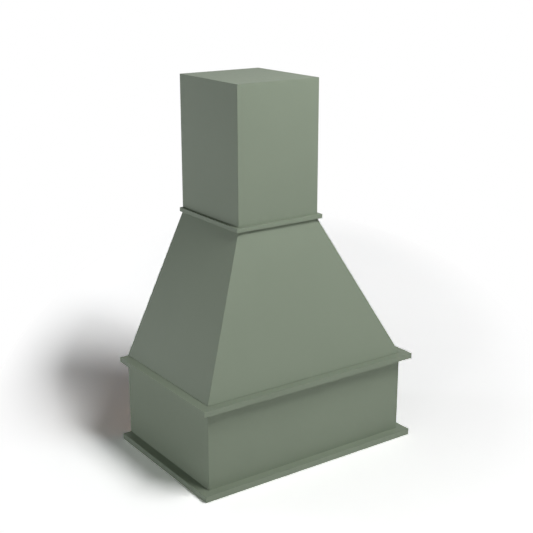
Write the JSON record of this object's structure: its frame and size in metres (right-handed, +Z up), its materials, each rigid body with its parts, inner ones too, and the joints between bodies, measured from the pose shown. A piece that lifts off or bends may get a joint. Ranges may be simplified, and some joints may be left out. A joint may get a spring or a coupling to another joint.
{
  "type": "wooden range hood cover",
  "caption": "Painted wooden chimney range hood cover: apron box between two ledges, tapered canopy, collar and closed chimney, open at the back and bottom for an insert.",
  "frame": {"origin": "middle of the cover's floor plan at the underside of the base trim; the wall plane is at y = +0.267 m", "axes": "+X to the right as seen from the front, +Y back towards the wall, +Z up"},
  "size_m": [0.822, 0.534, 1.22],
  "materials": {
    "sage_paint": "satin",
    "bare_timber": "matte",
    "zinc_steel": "satin"
  },
  "bodies": {
    "root": {"base_trim_front": "sage_paint", "base_trim_left": "sage_paint", "base_trim_right": "sage_paint", "apron_front": "sage_paint", "apron_left": "sage_paint", "apron_right": "sage_paint", "shelf_front": "sage_paint", "shelf_left": "sage_paint", "shelf_right": "sage_paint", "canopy_front": "sage_paint", "canopy_left": "sage_paint", "canopy_right": "sage_paint", "collar_front": "sage_paint", "collar_left": "sage_paint", "collar_right": "sage_paint", "chimney_front": "sage_paint", "chimney_left": "sage_paint", "chimney_right": "sage_paint", "chimney_top": "sage_paint", "insert_batten_front": "bare_timber", "insert_batten_left": "bare_timber", "insert_batten_right": "bare_timber", "insert_batten_back": "bare_timber", "apron_cleat_front": "bare_timber", "apron_cleat_left": "bare_timber", "apron_cleat_right": "bare_timber", "canopy_foot_cleat_front": "bare_timber", "canopy_foot_cleat_left": "bare_timber", "canopy_foot_cleat_right": "bare_timber", "canopy_head_cleat_front": "bare_timber", "canopy_head_cleat_left": "bare_timber", "canopy_head_cleat_right": "bare_timber", "canopy_head_cleat_back": "bare_timber", "chimney_cleat_front": "bare_timber", "chimney_cleat_left": "bare_timber", "chimney_cleat_right": "bare_timber", "chimney_cleat_back": "bare_timber", "apron_wall_rail": "bare_timber", "canopy_wall_rail": "bare_timber", "chimney_wall_rail": "bare_timber", "apron_block_left": "bare_timber", "apron_block_right": "bare_timber", "canopy_hip_block_left": "bare_timber", "canopy_hip_block_right": "bare_timber", "chimney_block_left": "bare_timber", "chimney_block_right": "bare_timber", "base_trim_screws": "zinc_steel", "shelf_screws": "zinc_steel", "canopy_screws": "zinc_steel", "chimney_screws": "zinc_steel"}
  },
  "joints": []
}
